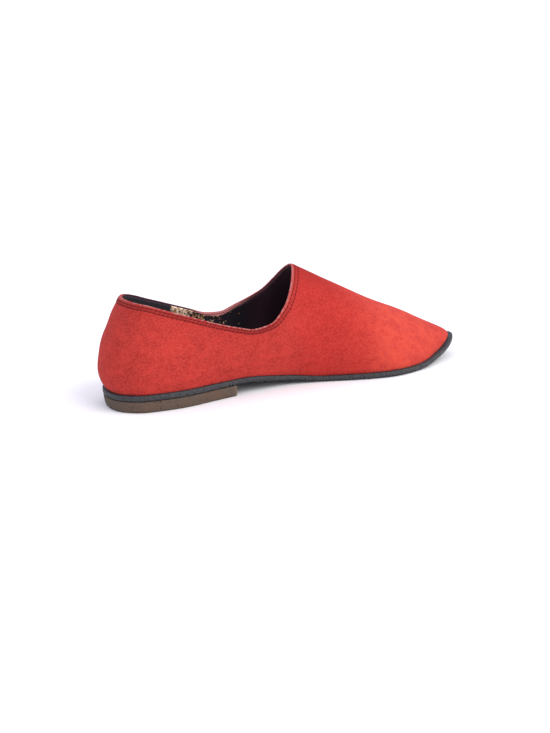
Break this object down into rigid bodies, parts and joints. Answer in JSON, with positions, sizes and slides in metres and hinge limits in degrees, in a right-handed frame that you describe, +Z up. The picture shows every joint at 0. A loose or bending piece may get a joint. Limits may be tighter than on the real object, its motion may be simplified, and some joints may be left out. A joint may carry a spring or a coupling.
{
  "type": "espadrille loafer",
  "caption": "Flat slip-on shoe for the left foot: hollow suede upper with an almond toe and low collar, on braided jute and a thin windowed rubber sole with a low heel lift.",
  "frame": {"origin": "on the ground, under the middle of the shoe's bounding box", "axes": "+X from heel to toe, +Y to the outer (lateral) side of the left foot, +Z up"},
  "size_m": [0.2638, 0.0868, 0.0792],
  "materials": {
    "suede": "red napped suede with a dark lining",
    "sole_rubber": "blue-black, finely pebbled, ribbed along the edge",
    "jute": "braided strands, partly coated black",
    "heel_board": "brown fibre board, worn and pitted",
    "sock": "dark, matte"
  },
  "bodies": {
    "root": {"upper": "suede", "outsole": "sole_rubber", "jute_midsole": "jute", "heel_lift": "heel_board", "insole": "sock"}
  },
  "joints": []
}
